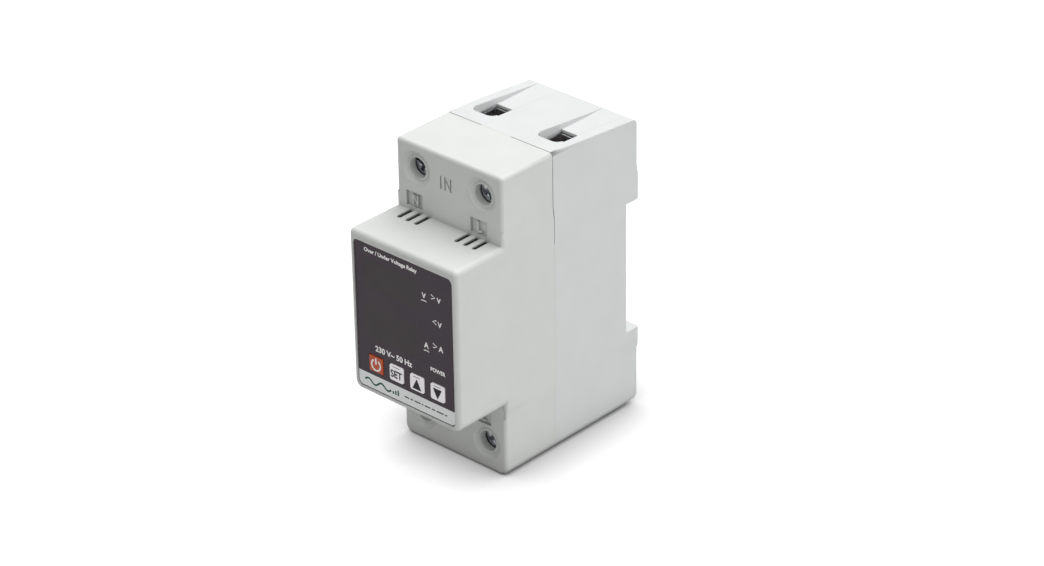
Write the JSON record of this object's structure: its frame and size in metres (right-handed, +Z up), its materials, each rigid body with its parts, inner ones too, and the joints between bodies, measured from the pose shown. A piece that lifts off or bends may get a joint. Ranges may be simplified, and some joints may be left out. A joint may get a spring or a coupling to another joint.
{
  "type": "whole house surge protector",
  "caption": "Narrow rail-mounted protector that switches off the mains outside set voltage and current limits, with displays, keys, screw terminals and a spring rail clip.",
  "frame": {"origin": "centre of the rail seat: the middle of the case's width, half way up a 35 mm rail, on the plane that the rail lies on", "axes": "+Z up, +Y towards the rail, so the displays face -Y, and +X to the right of someone who faces the displays"},
  "size_m": [0.036, 0.0669, 0.084],
  "materials": {
    "shell_plastic": "fine satin grain, warm light grey",
    "base_plastic": "fine satin grain, light grey",
    "overlay_film": "printed black film with a light strip",
    "gauze_fabric": "fine black woven gauze",
    "key_orange": "satin orange",
    "key_grey": "satin light grey",
    "stem_plastic": "satin black",
    "switch_body": "satin black",
    "circuit_board": "green solder mask",
    "display_module": "dark tinted epoxy",
    "lamp_epoxy": "clear diffused epoxy",
    "chip_epoxy": "matt black epoxy with tinned legs",
    "header_plastic": "black with tinned pins",
    "film_capacitor": "yellow box",
    "capacitor_sleeve": "shrunk sleeve",
    "varistor_coat": "dipped epoxy",
    "resistor_coat": "flameproof coat",
    "lead_insulation": "insulated wire",
    "transformer_case": "satin dark blue",
    "relay_case": "satin cream",
    "bobbin_plastic": "satin cream",
    "coil_copper": "enamelled copper wire",
    "soft_iron": "nickelled soft iron",
    "contact_copper": "copper with silver contact",
    "bar_copper": "bright copper",
    "zinc_steel": "zinc-plated steel",
    "clip_plastic": "satin black",
    "spring_steel": "bright spring wire"
  },
  "bodies": {
    "case": {"front_shell": "shell_plastic", "rear_base": "base_plastic", "front_overlay": "overlay_film", "vent_gauze": "gauze_fabric", "tact_switches": "switch_body", "display_board": "circuit_board", "voltage_display": "display_module", "current_display": "display_module", "indicator_lamps": "lamp_epoxy", "controller_chip": "chip_epoxy", "board_header": "header_plastic", "main_board": "circuit_board", "dropper_capacitor": "film_capacitor", "smoothing_capacitor": "capacitor_sleeve", "varistor": "varistor_coat", "fuse_resistor": "resistor_coat", "bridge_rectifier": "chip_epoxy", "driver_chip": "chip_epoxy", "sense_leads": "lead_insulation", "transformer_leads": "lead_insulation", "current_transformer": "transformer_case", "relay_base": "relay_case", "relay_cover": "relay_case", "coil_bobbin": "bobbin_plastic", "coil_winding": "coil_copper", "relay_core": "soft_iron", "relay_yoke": "soft_iron", "fixed_contact": "contact_copper", "neutral_bar": "bar_copper", "live_in_bar": "bar_copper", "live_out_bar": "bar_copper", "clip_spring": "spring_steel"},
    "power_key": {"key_power": "key_orange", "stem_power": "stem_plastic"},
    "set_key": {"key_set": "key_grey", "stem_set": "stem_plastic"},
    "up_key": {"key_up": "key_grey", "stem_up": "stem_plastic"},
    "down_key": {"key_down": "key_grey", "stem_down": "stem_plastic"},
    "armature": {"relay_armature": "soft_iron"},
    "pusher": {"relay_pusher": "bobbin_plastic"},
    "contact_blade": {"moving_contact": "contact_copper"},
    "clip": {"rail_clip": "clip_plastic"},
    "in_n_screw": {"screw_in_n": "zinc_steel"},
    "in_n_cage": {"cage_in_n": "zinc_steel"},
    "in_l_screw": {"screw_in_l": "zinc_steel"},
    "in_l_cage": {"cage_in_l": "zinc_steel"},
    "out_n_screw": {"screw_out_n": "zinc_steel"},
    "out_n_cage": {"cage_out_n": "zinc_steel"},
    "out_l_screw": {"screw_out_l": "zinc_steel"},
    "out_l_cage": {"cage_out_l": "zinc_steel"}
  },
  "joints": [
    {"name": "power_key_press", "type": "slide", "parent": "case", "child": "power_key", "axis": [0, 1, 0], "range_m": [0, 0.0003], "stiffness_N_per_m": 400, "springref_m": -0.0003},
    {"name": "set_key_press", "type": "slide", "parent": "case", "child": "set_key", "axis": [0, 1, 0], "range_m": [0, 0.0003], "stiffness_N_per_m": 400, "springref_m": -0.0003},
    {"name": "up_key_press", "type": "slide", "parent": "case", "child": "up_key", "axis": [0, 1, 0], "range_m": [0, 0.0003], "stiffness_N_per_m": 400, "springref_m": -0.0003},
    {"name": "down_key_press", "type": "slide", "parent": "case", "child": "down_key", "axis": [0, 1, 0], "range_m": [0, 0.0003], "stiffness_N_per_m": 400, "springref_m": -0.0003},
    {"name": "armature_tilt", "type": "hinge", "parent": "case", "child": "armature", "pos_m": [0.0063, -0.019, 0.014], "axis": [1, 0, 0], "range_deg": [0, 4.5], "stiffness_Nm_per_rad": 0.02, "springref_deg": -2.86},
    {"name": "pusher_slide", "type": "slide", "parent": "case", "child": "pusher", "axis": [0, 1, 0], "range_m": [0, 0.00081]},
    {"name": "contact_blade_bend", "type": "hinge", "parent": "case", "child": "contact_blade", "pos_m": [0.0063, -0.01265, -0.0103], "axis": [-1, 0, 0], "range_deg": [0, 2.65]},
    {"name": "screw_in_n_turn", "type": "hinge", "parent": "case", "child": "in_n_screw", "pos_m": [-0.0109, -0.04, 0.0363], "axis": [0, 1, 0], "range_deg": [0, 3601]},
    {"name": "cage_in_n_slide", "type": "slide", "parent": "case", "child": "in_n_cage", "axis": [0, -1, 0], "range_m": [0, 0.008]},
    {"name": "screw_in_l_turn", "type": "hinge", "parent": "case", "child": "in_l_screw", "pos_m": [0.0109, -0.04, 0.0363], "axis": [0, 1, 0], "range_deg": [0, 3601]},
    {"name": "cage_in_l_slide", "type": "slide", "parent": "case", "child": "in_l_cage", "axis": [0, -1, 0], "range_m": [0, 0.008]},
    {"name": "screw_out_n_turn", "type": "hinge", "parent": "case", "child": "out_n_screw", "pos_m": [-0.0109, -0.04, -0.0331], "axis": [0, 1, 0], "range_deg": [0, 3601]},
    {"name": "cage_out_n_slide", "type": "slide", "parent": "case", "child": "out_n_cage", "axis": [0, -1, 0], "range_m": [0, 0.008]},
    {"name": "screw_out_l_turn", "type": "hinge", "parent": "case", "child": "out_l_screw", "pos_m": [0.0109, -0.04, -0.0331], "axis": [0, 1, 0], "range_deg": [0, 3601]},
    {"name": "cage_out_l_slide", "type": "slide", "parent": "case", "child": "out_l_cage", "axis": [0, -1, 0], "range_m": [0, 0.008]},
    {"name": "rail_clip_slide", "type": "slide", "parent": "case", "child": "clip", "axis": [0, 0, -1], "range_m": [0, 0.0035], "stiffness_N_per_m": 1500, "springref_m": -0.002, "deforming": ["clip_spring"]}
  ],
  "couplings": [
    {"joint": "pusher_slide", "follows": "armature_tilt", "m_per_rad": 0.010186},
    {"joint": "contact_blade_bend", "follows": "armature_tilt", "ratio": 0.5822},
    {"joint": "screw_in_n_turn", "follows": "cage_in_n_slide", "rad_per_m": 7854},
    {"joint": "screw_in_l_turn", "follows": "cage_in_l_slide", "rad_per_m": 7854},
    {"joint": "screw_out_n_turn", "follows": "cage_out_n_slide", "rad_per_m": 7854},
    {"joint": "screw_out_l_turn", "follows": "cage_out_l_slide", "rad_per_m": 7854}
  ]
}
